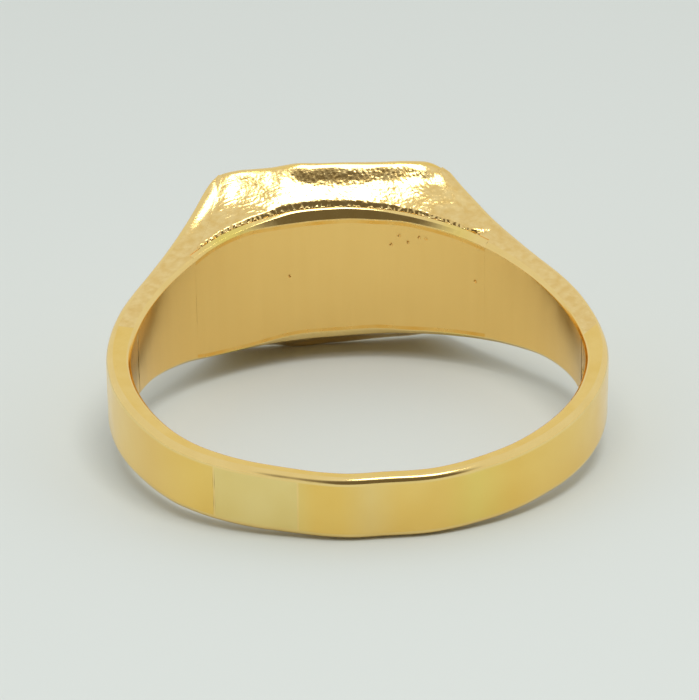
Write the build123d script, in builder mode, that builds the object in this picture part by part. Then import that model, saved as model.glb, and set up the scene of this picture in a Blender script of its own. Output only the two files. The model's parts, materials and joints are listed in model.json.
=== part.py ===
"""Closed-back hollow signet ring, built up from sheet and strip with soldered joints.

Millimetres. The finger hole runs along Z and is centred on the origin, half-way across the band.
The signet table faces +Y and the palm of the shank is at -Y, so +X is the ring's right-hand side.
"""
import os
from math import acos, atan2, cos, hypot, pi, radians, sin, sqrt, tan

from build123d import *

# ---- driving sizes ----
bore_radius = 9.7            # finger hole
palm_thickness = 0.75        # shank wall at the palm
side_thickness = 1.05        # shank wall at the two sides
palm_width = 2.85            # band width at the palm
side_width = 3.0             # band width level with the middle of the finger hole
band_top_width = 7.5         # width that the band's own taper reaches level with the table

head_rise = 2.25             # signet face above the wall of the finger hole
table_length = 10.2          # signet face, along X
table_width = 9.1            # signet face, along Z at its middle
table_end_width = 8.6        # signet face, along Z at its two ends
flare_drop = 3.3             # the head's flared flanks start this far below the top of the finger hole
flare_foot_width = 3.2       # and are this wide there on the middle line
flare_foot_end_width = 3.7   # and this wide level with the sides of the finger hole

lip_thickness = 0.4          # edge of the table plate that shows round the head
register_depth = 0.5         # step under the lip that drops between the side plates
side_plate_thickness = 0.5
shoulder_wall = 0.5          # shoulder strap beside the table
back_plate_thickness = 0.35
back_plate_half_angle = 41.0   # the back plate ends this far each side of the table's middle
hollow_half_angle = 38.0       # the hollow ends this far each side of the table's middle

solder_gap = 0.08            # thickness of every solder joint
left_joint_angle = 162.0     # polar angles, from +X, of the joints across the band
right_joint_angle = 5.0
sizing_start_angle = 229.5
sizing_end_angle = 250.0
scarf_slant = 45.0           # the right-hand joint is a scarf, turned this far from square

outer_edge_radius = 0.2      # edges of the flanks, polished round
table_end_radius = 0.5       # rounding where the table turns down into the shoulders
table_edge_radius = 0.2      # long edges of the table
bevel_width = 5.7            # flat inside of the back plate between its two polished edge bevels
bevel_rise = 0.22            # each bevel, into the plate's thickness
bevel_run = 0.62             # and across its width
inner_edge_radius = 0.12     # edges of the finger hole on the shank

punch_depth = 0.12           # plain punch marks inside the shank, past the right-hand joint
punch_size = 0.55
punch_pitch = 5.0            # degrees from one mark to the next
first_punch_angle = -1.5     # polar angle of the first mark

reach = 8.0                  # half the length of every cutting body, past the widest flank
far = 20.0                   # radius that is past the whole ring
near = 0.001                 # how close counts as on a face

# ---- places worked out from the sizes ----
outer_radius = bore_radius + side_thickness
outer_centre = side_thickness - palm_thickness
middle_radius = bore_radius + side_thickness / 2
half_table = table_length / 2
table_level = bore_radius + head_rise
flare_foot_level = bore_radius - flare_drop
lip_level = table_level - lip_thickness
register_level = lip_level - register_depth
seat_radius = bore_radius + back_plate_thickness
panel_radius = seat_radius + solder_gap


def polar(radius, angle):
    """Point at a polar angle in degrees from +X."""
    return radius * cos(radians(angle)), radius * sin(radians(angle))


def tangent_point(x, y):
    """Where a line down from (x, y) touches the shank's outer circle on the +X side."""
    rise = y - outer_centre
    angle = atan2(rise, x) - acos(outer_radius / hypot(x, rise))
    return outer_radius * cos(angle), outer_centre + outer_radius * sin(angle)


shoulder_foot = tangent_point(half_table, table_level)
shoulder_run = (shoulder_foot[0] - half_table) / (table_level - shoulder_foot[1])
shoulder_tilt = atan2(1.0, shoulder_run)
mitre_run = 1 / tan((pi - shoulder_tilt) / 2)
panel_top = half_table + lip_thickness * shoulder_run - shoulder_wall / sin(shoulder_tilt)
panel_foot = polar(panel_radius, 90 - hollow_half_angle)
lip_foot = half_table - lip_thickness * mitre_run


def both_sides(points):
    """Outline made of the points given for the +X side and their mirror images."""
    return [*points, *((-x, y) for x, y in reversed(points))]


def joint_line(angle, slant=0.0):
    """Two points, inside and outside the band wall, on the line of a joint across it."""
    x, y = polar(middle_radius, angle)
    step_x, step_y = polar(2 * side_thickness, angle + slant)
    return (x - step_x, y - step_y), (x + step_x, y + step_y)


def joint_slab(line):
    """Thin sheet of solder on a joint line, as a sketch."""
    (start_x, start_y), (end_x, end_y) = line
    run_x, run_y = end_x - start_x, end_y - start_y
    length = hypot(run_x, run_y)
    off_x, off_y = -run_y / length * solder_gap / 2, run_x / length * solder_gap / 2
    return [
        (start_x - off_x, start_y - off_y),
        (end_x - off_x, end_y - off_y),
        (end_x + off_x, end_y + off_y),
        (start_x + off_x, start_y + off_y),
    ]


def band_sector(start, end):
    """Outline from one joint line round to another, counter-clockwise, past the band on both faces."""
    start_inner, start_outer = start
    end_inner, end_outer = end
    first = atan2(start_outer[1], start_outer[0])
    sweep = (atan2(end_outer[1], end_outer[0]) - first) % (2 * pi)
    rim = [(far * cos(first + sweep * n / 6), far * sin(first + sweep * n / 6)) for n in range(7)]
    return [(0, 0), start_inner, start_outer, *rim, end_outer, end_inner]


def bow(half_length, middle, end, x):
    """Half width at x of an arc that is middle at x = 0 and end at x = half_length."""
    sag = middle - end
    radius = (half_length ** 2 + sag ** 2) / (2 * sag)
    return middle - radius + sqrt(radius ** 2 - x ** 2)


def flanks(inset):
    """Body between the two flanks of the ring, each moved inwards by inset."""
    palm = palm_width / 2 - inset
    side = side_width / 2 - inset
    table_middle = table_width / 2
    table_end = bow(half_table, table_middle, table_end_width / 2, bore_radius)
    with BuildPart() as body:
        with BuildSketch(Plane.YZ):
            with BuildLine():
                palm_run = Line((-far, palm), (-outer_radius, palm))
                taper = Line(palm_run @ 1, (0, side))
                swell = TangentArc(taper @ 1, (table_level, band_top_width / 2 - inset), tangent=taper % 1)
                Polyline(swell @ 1, (table_level, 0), (-far, 0), palm_run @ 0)
            make_face()
            mirror(about=Plane.XZ)
        extrude(amount=far, both=True)
    with BuildPart() as flare:
        for level, middle, end in (
            (flare_foot_level, flare_foot_width / 2, flare_foot_end_width / 2),
            (table_level, table_middle, table_end),
        ):
            with BuildSketch(Plane.XZ.offset(-level)):
                with BuildLine():
                    edge = ThreePointArc(
                        (-bore_radius, end - inset), (0, middle - inset), (bore_radius, end - inset)
                    )
                    Polyline(edge @ 1, (bore_radius, 0), (-bore_radius, 0), edge @ 0)
                make_face()
                mirror(about=Plane.XZ)
        loft(ruled=True)
    return body.part + flare.part


outer_flanks = flanks(0.0)
inner_flanks = flanks(side_plate_thickness)


def on_bore(point):
    """Whether a point lies on the wall of the finger hole."""
    return abs(hypot(point.X, point.Y) - bore_radius) < near


def on_outline(point):
    """Whether a point lies on the band's round outer face or on a shoulder's sloping face."""
    off_round = hypot(point.X, point.Y - outer_centre) - outer_radius
    off_slope = abs(point.X) - half_table - (table_level - point.Y) * shoulder_run
    return min(abs(off_round), abs(off_slope)) < near


def running_edges(part, on_face):
    """Edges of part that run round the ring along a face, leaving out those that cross it."""
    return part.edges().filter_by(
        lambda edge: all(on_face(edge @ t) for t in (0, 0.5, 1)) and abs(edge.tangent_at(0.5).Z) < 0.9
    )


# ---- outside shape of the whole ring, which every piece is trimmed to ----
with BuildPart() as blank:
    with BuildSketch():
        with Locations((0, outer_centre)):
            Circle(outer_radius)
        Polygon(*both_sides([shoulder_foot, (half_table, table_level)]), (0, outer_centre), align=None)
        Circle(bore_radius, mode=Mode.SUBTRACT)
    extrude(amount=reach, both=True)
    add(outer_flanks, mode=Mode.INTERSECT)
    fillet(blank.edges().filter_by(Axis.Z).group_by(Axis.Y)[-1], table_end_radius)

left_joint = joint_line(left_joint_angle)
right_joint = joint_line(right_joint_angle, scarf_slant)
sizing_start = joint_line(sizing_start_angle)
sizing_end = joint_line(sizing_end_angle)

# ---- shank: the band from the left joint round the palm to the right joint and the solder at its
# two ends, its edges eased ----
with BuildPart() as shank:
    with BuildSketch():
        Polygon(*band_sector(left_joint, right_joint), align=None)
        for line in (left_joint, right_joint):
            Polygon(*joint_slab(line), align=None)
    extrude(amount=reach, both=True)
    add(blank.part, mode=Mode.INTERSECT)
    fillet(running_edges(shank, on_outline), outer_edge_radius)
    fillet(running_edges(shank, on_bore), inner_edge_radius)

# ---- shank, cut into its pieces; the short sizing piece was let in beside the palm ----
with BuildPart() as left_shank:
    with BuildSketch():
        Polygon(*band_sector(left_joint, sizing_start), align=None)
        for line in (left_joint, sizing_start):
            Polygon(*joint_slab(line), align=None, mode=Mode.SUBTRACT)
    extrude(amount=reach, both=True)
    add(shank.part, mode=Mode.INTERSECT)

with BuildPart() as sizing_piece:
    with BuildSketch():
        Polygon(*band_sector(sizing_start, sizing_end), align=None)
        for line in (sizing_start, sizing_end):
            Polygon(*joint_slab(line), align=None, mode=Mode.SUBTRACT)
    extrude(amount=reach, both=True)
    add(shank.part, mode=Mode.INTERSECT)

with BuildPart() as right_shank:
    with BuildSketch():
        Polygon(*band_sector(sizing_end, right_joint), align=None)
        for line in (sizing_end, right_joint):
            Polygon(*joint_slab(line), align=None, mode=Mode.SUBTRACT)
    extrude(amount=reach, both=True)
    add(shank.part, mode=Mode.INTERSECT)
    # three plain punch marks in the wall of the finger hole: a lozenge, a round and a square
    for mark in range(3):
        angle = first_punch_angle - mark * punch_pitch
        x, y = polar(bore_radius - punch_size, angle)
        wall = Plane(origin=(x, y, 0), x_dir=(0, 0, 1), z_dir=(x, y, 0))
        with BuildSketch(wall):
            if mark == 1:
                Circle(punch_size / 2)
            else:
                Rectangle(punch_size, punch_size * 0.7, rotation=45 if mark == 0 else 0)
        extrude(amount=punch_size + punch_depth, mode=Mode.SUBTRACT)

# ---- head ----
back_plate_start = joint_line(90 - back_plate_half_angle)
back_plate_end = joint_line(90 + back_plate_half_angle)
crown = joint_line(90)

with BuildSketch() as back_plate_outline:
    Polygon(*band_sector(back_plate_start, back_plate_end), align=None)
    Circle(seat_radius, mode=Mode.INTERSECT)

# the hollow and the two side plates that close it share one outline in the plane of the ring
with BuildSketch() as hollow_outline:
    Polygon(*both_sides([panel_foot, (panel_top, lip_level)]), align=None)
    Circle(panel_radius, mode=Mode.SUBTRACT)

# solder between the back plate and the side plates
with BuildSketch() as seam_outline:
    Polygon(*band_sector(joint_line(90 - hollow_half_angle), joint_line(90 + hollow_half_angle)), align=None)
    Circle(panel_radius, mode=Mode.INTERSECT)
    Circle(seat_radius, mode=Mode.SUBTRACT)

# the lip's two ends are mitred to the shoulders
with BuildSketch() as lip_outline:
    Polygon(*both_sides([(lip_foot, lip_level), (half_table, table_level)]), align=None)

with BuildPart() as back_plate:
    with BuildSketch():
        add(back_plate_outline.sketch)
    extrude(amount=reach, both=True)
    add(blank.part, mode=Mode.INTERSECT)
    # polished bevels: a cone at each end of the finger hole that dies out towards the shoulders
    with BuildSketch(Plane.XZ):
        Polygon(
            (bore_radius - bevel_rise, bevel_width / 2 - bevel_run),
            (bore_radius + bevel_rise, bevel_width / 2 + bevel_run),
            (bore_radius - bevel_rise, bevel_width / 2 + bevel_run),
            align=None,
        )
        mirror(about=Plane.XZ)
    revolve(axis=Axis.Z, mode=Mode.SUBTRACT)

with BuildPart() as register:
    with BuildSketch():
        add(hollow_outline.sketch)
        with Locations((0, register_level)):
            Rectangle(far, far, align=(Align.CENTER, Align.MIN), mode=Mode.INTERSECT)
    extrude(amount=reach, both=True)
    add(inner_flanks, mode=Mode.INTERSECT)

with BuildPart() as table_plate:
    with BuildSketch():
        add(lip_outline.sketch)
    extrude(amount=reach, both=True)
    add(blank.part, mode=Mode.INTERSECT)
    fillet(table_plate.edges().group_by(Axis.Y)[-1].filter_by(GeomType.CIRCLE), table_edge_radius)
    add(register.part)

with BuildPart() as side_plates:
    with BuildSketch():
        add(hollow_outline.sketch)
    extrude(amount=reach, both=True)
    add(blank.part, mode=Mode.INTERSECT)
    add(inner_flanks, mode=Mode.SUBTRACT)

with BuildPart() as upper_side_plate:
    add(side_plates.part)
    split(bisect_by=Plane.XY, keep=Keep.TOP)

with BuildPart() as lower_side_plate:
    add(side_plates.part)
    split(bisect_by=Plane.XY, keep=Keep.BOTTOM)

with BuildPart() as back_seams:
    with BuildSketch():
        add(seam_outline.sketch)
    extrude(amount=reach, both=True)
    add(blank.part, mode=Mode.INTERSECT)
    add(inner_flanks, mode=Mode.SUBTRACT)

with BuildPart() as upper_back_seam:
    add(back_seams.part)
    split(bisect_by=Plane.XY, keep=Keep.TOP)

with BuildPart() as lower_back_seam:
    add(back_seams.part)
    split(bisect_by=Plane.XY, keep=Keep.BOTTOM)

with BuildPart() as right_shoulder:
    with BuildSketch():
        Polygon(*band_sector(right_joint, crown), align=None)
        Polygon(*joint_slab(right_joint), align=None, mode=Mode.SUBTRACT)
        for gap in (back_plate_outline, hollow_outline, seam_outline, lip_outline):
            add(gap.sketch, mode=Mode.SUBTRACT)
    extrude(amount=reach, both=True)
    add(blank.part, mode=Mode.INTERSECT)
    fillet(running_edges(right_shoulder, on_outline), outer_edge_radius)

with BuildPart() as left_shoulder:
    with BuildSketch():
        Polygon(*band_sector(crown, left_joint), align=None)
        Polygon(*joint_slab(left_joint), align=None, mode=Mode.SUBTRACT)
        for gap in (back_plate_outline, hollow_outline, seam_outline, lip_outline):
            add(gap.sketch, mode=Mode.SUBTRACT)
    extrude(amount=reach, both=True)
    add(blank.part, mode=Mode.INTERSECT)
    fillet(running_edges(left_shoulder, on_outline), outer_edge_radius)


def solder(line, band):
    """Solder filling the joint on a line across the band."""
    with BuildPart() as seam:
        with BuildSketch():
            Polygon(*joint_slab(line), align=None)
        extrude(amount=reach, both=True)
        add(band, mode=Mode.INTERSECT)
    return seam.part


pieces = {
    "table_plate": table_plate.part,
    "left_shoulder": left_shoulder.part,
    "right_shoulder": right_shoulder.part,
    "upper_side_plate": upper_side_plate.part,
    "lower_side_plate": lower_side_plate.part,
    "back_plate": back_plate.part,
    "left_shank": left_shank.part,
    "right_shank": right_shank.part,
    "sizing_piece": sizing_piece.part,
    "upper_back_seam": upper_back_seam.part,
    "lower_back_seam": lower_back_seam.part,
    "left_shank_seam": solder(left_joint, shank.part),
    "right_shank_seam": solder(right_joint, shank.part),
    "left_sizing_seam": solder(sizing_start, shank.part),
    "right_sizing_seam": solder(sizing_end, shank.part),
}

os.makedirs("parts", exist_ok=True)
for name, piece in pieces.items():
    piece.label = name
    export_step(piece, f"parts/{name}.step")
    print(name, round(piece.volume, 3), piece.is_valid, len(piece.solids()))
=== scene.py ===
"""Looks of a closed-back signet ring, built by hand from gold sheet and strip.

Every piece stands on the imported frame. Sizes are in millimetres; meshes are written in metres.
The finger hole runs along Z, the signet table faces +Y, and the ring lies on its side.
"""

import json
import logging
from dataclasses import dataclass, field
from enum import Enum
from math import acos, atan2, cos, degrees, exp, hypot, pi, radians, sin, sqrt
from typing import Callable, Sequence

import bmesh
import bpy
from mathutils import Matrix, Vector, noise


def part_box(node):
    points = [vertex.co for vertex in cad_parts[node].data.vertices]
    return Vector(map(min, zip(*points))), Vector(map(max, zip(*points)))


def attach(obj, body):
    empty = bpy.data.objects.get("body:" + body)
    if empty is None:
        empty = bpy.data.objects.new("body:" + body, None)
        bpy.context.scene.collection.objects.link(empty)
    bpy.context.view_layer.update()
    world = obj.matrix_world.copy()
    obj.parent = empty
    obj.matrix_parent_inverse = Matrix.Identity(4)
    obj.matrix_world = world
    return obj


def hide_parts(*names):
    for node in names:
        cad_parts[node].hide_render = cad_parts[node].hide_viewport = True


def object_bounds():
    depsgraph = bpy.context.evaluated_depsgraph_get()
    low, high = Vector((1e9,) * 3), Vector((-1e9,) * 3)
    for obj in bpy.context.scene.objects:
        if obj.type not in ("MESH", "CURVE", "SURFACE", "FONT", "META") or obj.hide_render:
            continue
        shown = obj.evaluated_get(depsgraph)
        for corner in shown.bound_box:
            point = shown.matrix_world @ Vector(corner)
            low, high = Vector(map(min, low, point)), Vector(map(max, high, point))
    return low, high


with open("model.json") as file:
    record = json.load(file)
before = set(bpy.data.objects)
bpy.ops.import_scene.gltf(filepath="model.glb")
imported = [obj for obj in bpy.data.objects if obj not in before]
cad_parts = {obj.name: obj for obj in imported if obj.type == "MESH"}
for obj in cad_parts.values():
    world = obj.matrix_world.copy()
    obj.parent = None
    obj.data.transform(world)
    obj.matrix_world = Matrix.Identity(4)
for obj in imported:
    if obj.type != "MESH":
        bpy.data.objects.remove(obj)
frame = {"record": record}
frame_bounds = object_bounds()

MM = 0.001
BODY = "root"
STRAIGHT = 0.9999  # cosine past which two lines count as one
ARC_REACH = 0.48  # share of the shorter side that a corner's rounding may take
SHARP_EDGE = 50.0  # degrees between two faces past which their edge stays sharp
FLAW_EDGE = 6.0  # square of the distance, in sizes, where a flaw ends
log = logging.getLogger("signet_ring")

Flat = tuple[float, float]
Solid = tuple[float, float, float]
Colour = tuple[float, float, float]


class Zone(Enum):
    """Which worked surface of a piece a face belongs to."""

    BORE = 0
    RIM = 1
    EDGE = 2
    FLANK = 3
    OUTSIDE = 4
    END = 5


class Stroke(Enum):
    """Which way a tool was drawn over the metal: how much finer its marks are along X, Y and Z."""

    EVEN = (1.0, 1.0, 1.0)
    ACROSS_HEAD = (0.1, 1.6, 1.6)
    THROUGH_HOLE = (1.0, 1.0, 0.06)
    ROUND_BAND = (0.35, 0.35, 1.4)


class Side(Enum):
    """One side of the ring: +1 for the upper flank or the right shoulder, -1 for the other."""

    PLUS = 1
    MINUS = -1


def smooth_max(a: float, b: float, blend: float) -> float:
    """Larger of two values, eased where they cross.

    Args:
        a: First value.
        b: Second value.
        blend: How far apart they are where the easing starts.

    Returns:
        The eased maximum.
    """
    h = max(blend - abs(a - b), 0.0) / blend
    return max(a, b) + h * h * blend / 4


def ease(low: float, high: float, value: float) -> float:
    """Smooth step from 0 at low to 1 at high.

    Args:
        low: Where the step starts.
        high: Where it ends.
        value: Where it is read.

    Returns:
        A number from 0 to 1.
    """
    t = min(max((value - low) / (high - low), 0.0), 1.0)
    return t * t * (3 - 2 * t)


def mix(a: Flat, b: Flat, t: float) -> Flat:
    """Point part of the way from a to b."""
    return a[0] + (b[0] - a[0]) * t, a[1] + (b[1] - a[1]) * t


def follow(line: Sequence[Flat], place: float) -> float:
    """Height, at a place, of an eased line through given points.

    Args:
        line: Places and heights, in order.
        place: Where it is read.

    Returns:
        The height.
    """
    if place <= line[0][0]:
        return line[0][1]
    for (start, low), (end, high) in zip(line, line[1:]):
        if place <= end:
            return low + (high - low) * ease(start, end, place)
    return line[-1][1]


def polar(radius: float, angle: float) -> Flat:
    """Point at a polar angle in degrees from +X."""
    return radius * cos(radians(angle)), radius * sin(radians(angle))


def polar_angle(point: Sequence[float]) -> float:
    """Polar angle of a point, in degrees from 0 to 360."""
    return degrees(atan2(point[1], point[0])) % 360


def marks(x: float, y: float, size: Flat, layer: float) -> float:
    """Noise, from about -1 to 1, of marks that have a given length along X and width along Y.

    Args:
        x: Place along X.
        y: Place along Y.
        size: Length and width of a mark, in millimetres.
        layer: Keeps one set of marks apart from the next.

    Returns:
        The noise.
    """
    return noise.noise(Vector((x / size[0], y / size[1], layer)))


def rounded(before: Flat, corner: Flat, after: Flat, radius: float, steps: int) -> list[Flat]:
    """Arc that rounds one corner of an outline.

    Args:
        before: Outline point before the corner.
        corner: The corner.
        after: Outline point after the corner.
        radius: Radius of the rounding.
        steps: Number of chords in the arc.

    Returns:
        steps + 1 points from one tangent point to the other.
    """
    ax, ay = before[0] - corner[0], before[1] - corner[1]
    bx, by = after[0] - corner[0], after[1] - corner[1]
    la, lb = hypot(ax, ay), hypot(bx, by)
    ax, ay, bx, by = ax / la, ay / la, bx / lb, by / lb
    half = acos(max(-STRAIGHT, min(STRAIGHT, ax * bx + ay * by))) / 2
    reach = ARC_REACH * min(la, lb)
    tangent = min(radius / (sin(half) / cos(half)), reach)
    radius = tangent * sin(half) / cos(half)
    mx, my = ax + bx, ay + by
    lm = hypot(mx, my)
    cx, cy = corner[0] + mx / lm * radius / sin(half), corner[1] + my / lm * radius / sin(half)
    start = (corner[0] + ax * tangent - cx, corner[1] + ay * tangent - cy)
    end = (corner[0] + bx * tangent - cx, corner[1] + by * tangent - cy)
    first = atan2(start[1], start[0])
    turn = (atan2(end[1], end[0]) - first + pi) % (2 * pi) - pi
    return [
        (cx + radius * cos(first + turn * k / steps), cy + radius * sin(first + turn * k / steps))
        for k in range(steps + 1)
    ]


@dataclass(frozen=True)
class Flaw:
    """A small pit, nick or void: metal is missing round a point."""

    centre: Solid
    size: Solid
    drop: Solid

    def shift(self, point: Solid) -> Solid:
        """How far the surface is pushed in at a point.

        Args:
            point: Surface point.

        Returns:
            The shift along X, Y and Z.
        """
        far = sum(((point[k] - self.centre[k]) / self.size[k]) ** 2 for k in range(3))
        if far > FLAW_EDGE:
            return 0.0, 0.0, 0.0
        depth = exp(-far)
        return self.drop[0] * depth, self.drop[1] * depth, self.drop[2] * depth


@dataclass(frozen=True)
class Wander:
    """A place on the shank where the hand-bent band leaves its true circle."""

    angle: float
    spread: float
    outwards: float


@dataclass(frozen=True)
class RingShape:
    """Outside shape of the ring, with the small unevenness of hand work on it."""

    bore_radius: float
    outer_radius: float
    outer_centre: float
    table_level: float
    palm_half_width: float
    half_table: float = 5.1
    side_half_width: float = 1.5
    swell: tuple[Flat, ...] = ((-5.6, 4.35), (-1.5, 3.8), (1.5, 3.8), (5.6, 4.0))
    table_edge: tuple[Flat, ...] = (
        (-5.1, 4.82),
        (-2.4, 4.74),
        (0.0, 4.58),
        (3.0, 4.45),
        (5.1, 4.3),
    )
    foot_half_width: float = 0.8
    foot_half_width_end: float = 1.85
    foot_spread: float = 5.6
    foot_level: float = 6.4
    flank_blend: float = 0.3
    corner_blend_left: float = 1.3
    corner_blend_right: float = 0.6
    fall_left: Flat = (2.6, 0.14)
    fall_right: Flat = (0.8, 0.04)
    fall_levels: Flat = (3.0, 8.0)
    lip_reach: float = 0.5
    lip_depth: float = 0.165
    lip_blend: float = 0.8
    hollow_left: Solid = (2.0, 4.4, 0.2)
    hollow_right: Solid = (3.3, 5.2, 0.07)
    hollow_end: Flat = (6.0, 8.0)
    hollow_seat: float = 0.4
    ridge_height: float = 0.2
    ridge_foot: float = 10.93
    ridge_top: float = 11.5
    ridge_blend: float = 0.35
    ridge_left: Flat = (-2.7, -1.1)
    ridge_right: Flat = (4.1, 5.3)
    bevel_share: float = 0.6
    bevel_least: float = 0.05
    bevel_runs: tuple[Flat, ...] = (
        (-66, 0.15),
        (-44, 0.13),
        (-36, 0.07),
        (-26, 0.07),
        (-8, 0.27),
        (8, 0.27),
        (20, 0.17),
        (66, 0.15),
    )
    rim_strip: float = 0.17
    hand_wave: float = 0.03
    hand_wave_length: float = 2.6
    hand_ripple: float = 0.006
    hand_ripple_length: float = 0.9
    wanders: tuple[Wander, ...] = (
        Wander(218, 11, 0.12),
        Wander(249, 12, -0.2),
        Wander(271, 8, -0.16),
    )

    @classmethod
    def from_frame(cls) -> "RingShape":
        """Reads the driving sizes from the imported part.

        Returns:
            The ring's shape.
        """
        low, high = frame_bounds
        bore = next(m for m in frame["record"]["mounts"] if m["name"] == "finger_hole")
        outer = high.x / MM
        return cls(
            bore_radius=float(bore["dims"]["r_mm"]),
            outer_radius=outer,
            outer_centre=low.y / MM + outer,
            table_level=high.y / MM,
            palm_half_width=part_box("sizing_piece")[1].z / MM,
        )

    @property
    def slope_angle(self) -> float:
        """Direction that the right shoulder's slope faces.

        Returns:
            Degrees from +X.
        """
        rise = self.table_level - self.outer_centre
        reach = hypot(self.half_table, rise)
        return degrees(atan2(rise, self.half_table) - acos(self.outer_radius / reach))

    @property
    def slope_offset(self) -> float:
        """How far the slope's line runs from the middle of the finger hole."""
        facing = radians(self.slope_angle)
        return self.half_table * cos(facing) + self.table_level * sin(facing)

    def outline(self, angle: float) -> Flat:
        """Point of the ring's outer line at a polar angle.

        Args:
            angle: Degrees from +X.

        Returns:
            The point, with the table's corners eased.
        """
        angle %= 360
        folded = angle if angle <= 90 or angle >= 270 else 180 - angle
        turn = radians(folded)
        centre = self.outer_centre
        circle = centre * sin(turn) + sqrt(self.outer_radius**2 - (centre * cos(turn)) ** 2)
        facing = radians(self.slope_angle)
        foot = atan2(
            centre + self.outer_radius * sin(facing), self.outer_radius * cos(facing)
        )
        if not foot < turn <= pi / 2:
            return polar(circle, angle)
        slope = self.slope_offset / cos(turn - facing)
        table = self.table_level / sin(turn)
        blend = self.corner_blend_right if angle < 90 else self.corner_blend_left
        return polar(-smooth_max(-slope, -table, blend), angle)

    def half_width(self, x: float, y: float) -> float:
        """Half the ring's width at a point of its face.

        Args:
            x: Place along X.
            y: Place along Y.

        Returns:
            Half the width along Z.
        """
        taper = (self.side_half_width - self.palm_half_width) / self.outer_radius
        swell = self.side_half_width + taper * max(y, -self.outer_radius)
        if y > 0:
            full = follow(self.swell, x)
            rest = full - self.side_half_width - taper * self.table_level
            swell += rest * (y / self.table_level) ** 2
        top = follow(self.table_edge, x)
        spread = 1 - exp(-((x / self.foot_spread) ** 2))
        foot = self.foot_half_width + (self.foot_half_width_end - self.foot_half_width) * spread
        up = (y - self.foot_level) / (self.table_level - self.foot_level)
        flare = foot + (top - foot) * up
        width = smooth_max(swell, flare, self.flank_blend)
        return width + self.ridge(x, y) - self.fall(x, y) - self.hollow(x, y)

    def fall(self, x: float, y: float) -> float:
        """How far the flank falls away towards the table's edge and a shoulder's sloping edge.

        Args:
            x: Place along X.
            y: Place along Y.

        Returns:
            The width taken off.
        """
        facing = radians(self.slope_angle)
        inside = max(self.slope_offset - abs(x) * cos(facing) - y * sin(facing), 0.0)
        reach, depth = self.fall_left if x < 0 else self.fall_right
        fall = depth * max(1 - inside / reach, 0.0) ** 2
        edge = max(-smooth_max(-inside, y - self.table_level, self.lip_blend), 0.0)
        lip = self.lip_depth * max(1 - edge / self.lip_reach, 0.0) ** 2
        return (fall + lip) * ease(*self.fall_levels, y)

    def hollow(self, x: float, y: float) -> float:
        """How far the file has hollowed the flank beside a shoulder.

        Args:
            x: Place along X.
            y: Place along Y.

        Returns:
            The width taken off.
        """
        facing = radians(self.slope_angle)
        start, full, depth = self.hollow_left if x < 0 else self.hollow_right
        reach = abs(x)
        low = sqrt(max((self.bore_radius + self.hollow_seat) ** 2 - x * x, 0.0))
        slope = (self.slope_offset - reach * cos(facing)) / sin(facing)
        high = min(self.table_level, slope)
        if reach < start or not low < y < high:
            return 0.0
        along = ease(start, full, reach) * (1 - ease(*self.hollow_end, reach))
        return depth * along * sin(pi * (y - low) / (high - low))

    def ridge(self, x: float, y: float) -> float:
        """Extra height of the flank above the hollow that the file left along its middle.

        Args:
            x: Place along X.
            y: Place along Y.

        Returns:
            The height to add.
        """
        share = (y - self.ridge_foot) / (self.ridge_top - self.ridge_foot)
        if share < -self.ridge_blend:
            return 0.0
        along = ease(*self.ridge_left, x) * (1 - ease(*self.ridge_right, x))
        climb = smooth_max(0.0, share, self.ridge_blend)
        climb = 1 - smooth_max(0.0, 1 - climb, self.ridge_blend)
        return self.ridge_height * along * climb

    def bevel(self, point: Flat) -> Flat:
        """Size of the polished bevel on the edge of the finger hole beside a point.

        Args:
            point: Point of the hole's edge.

        Returns:
            Its rise into the wall and its run across the width.
        """
        turn = (90 - polar_angle(point) + 180) % 360 - 180
        run = follow(self.bevel_runs, turn)
        return run * self.bevel_share + self.bevel_least, run

    def wandered(self, point: Flat) -> Flat:
        """Moves a point of the shank to where the hand-bent band really runs.

        Args:
            point: Point on the true circle.

        Returns:
            The moved point.
        """
        angle = polar_angle(point)
        radius = hypot(*point)
        for wander in self.wanders:
            away = (angle - wander.angle + 180) % 360 - 180
            radius += wander.outwards * exp(-((away / wander.spread) ** 2))
        return polar(radius, angle)

    def worked(self, point: Solid) -> Solid:
        """Adds the slight waviness that files and buffs leave.

        Args:
            point: True point.

        Returns:
            The moved point.
        """
        place = Vector(point)
        wave = noise.noise_vector(place / self.hand_wave_length) * self.hand_wave
        ripple = noise.noise_vector(place / self.hand_ripple_length) * self.hand_ripple
        return tuple(place + wave + ripple)


@dataclass(frozen=True)
class Chords:
    """How many faces cross each surface of a band's section."""

    bore: int = 16
    bevel: int = 4
    corner: int = 4
    flank: int = 8
    outside: int = 14


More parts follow.
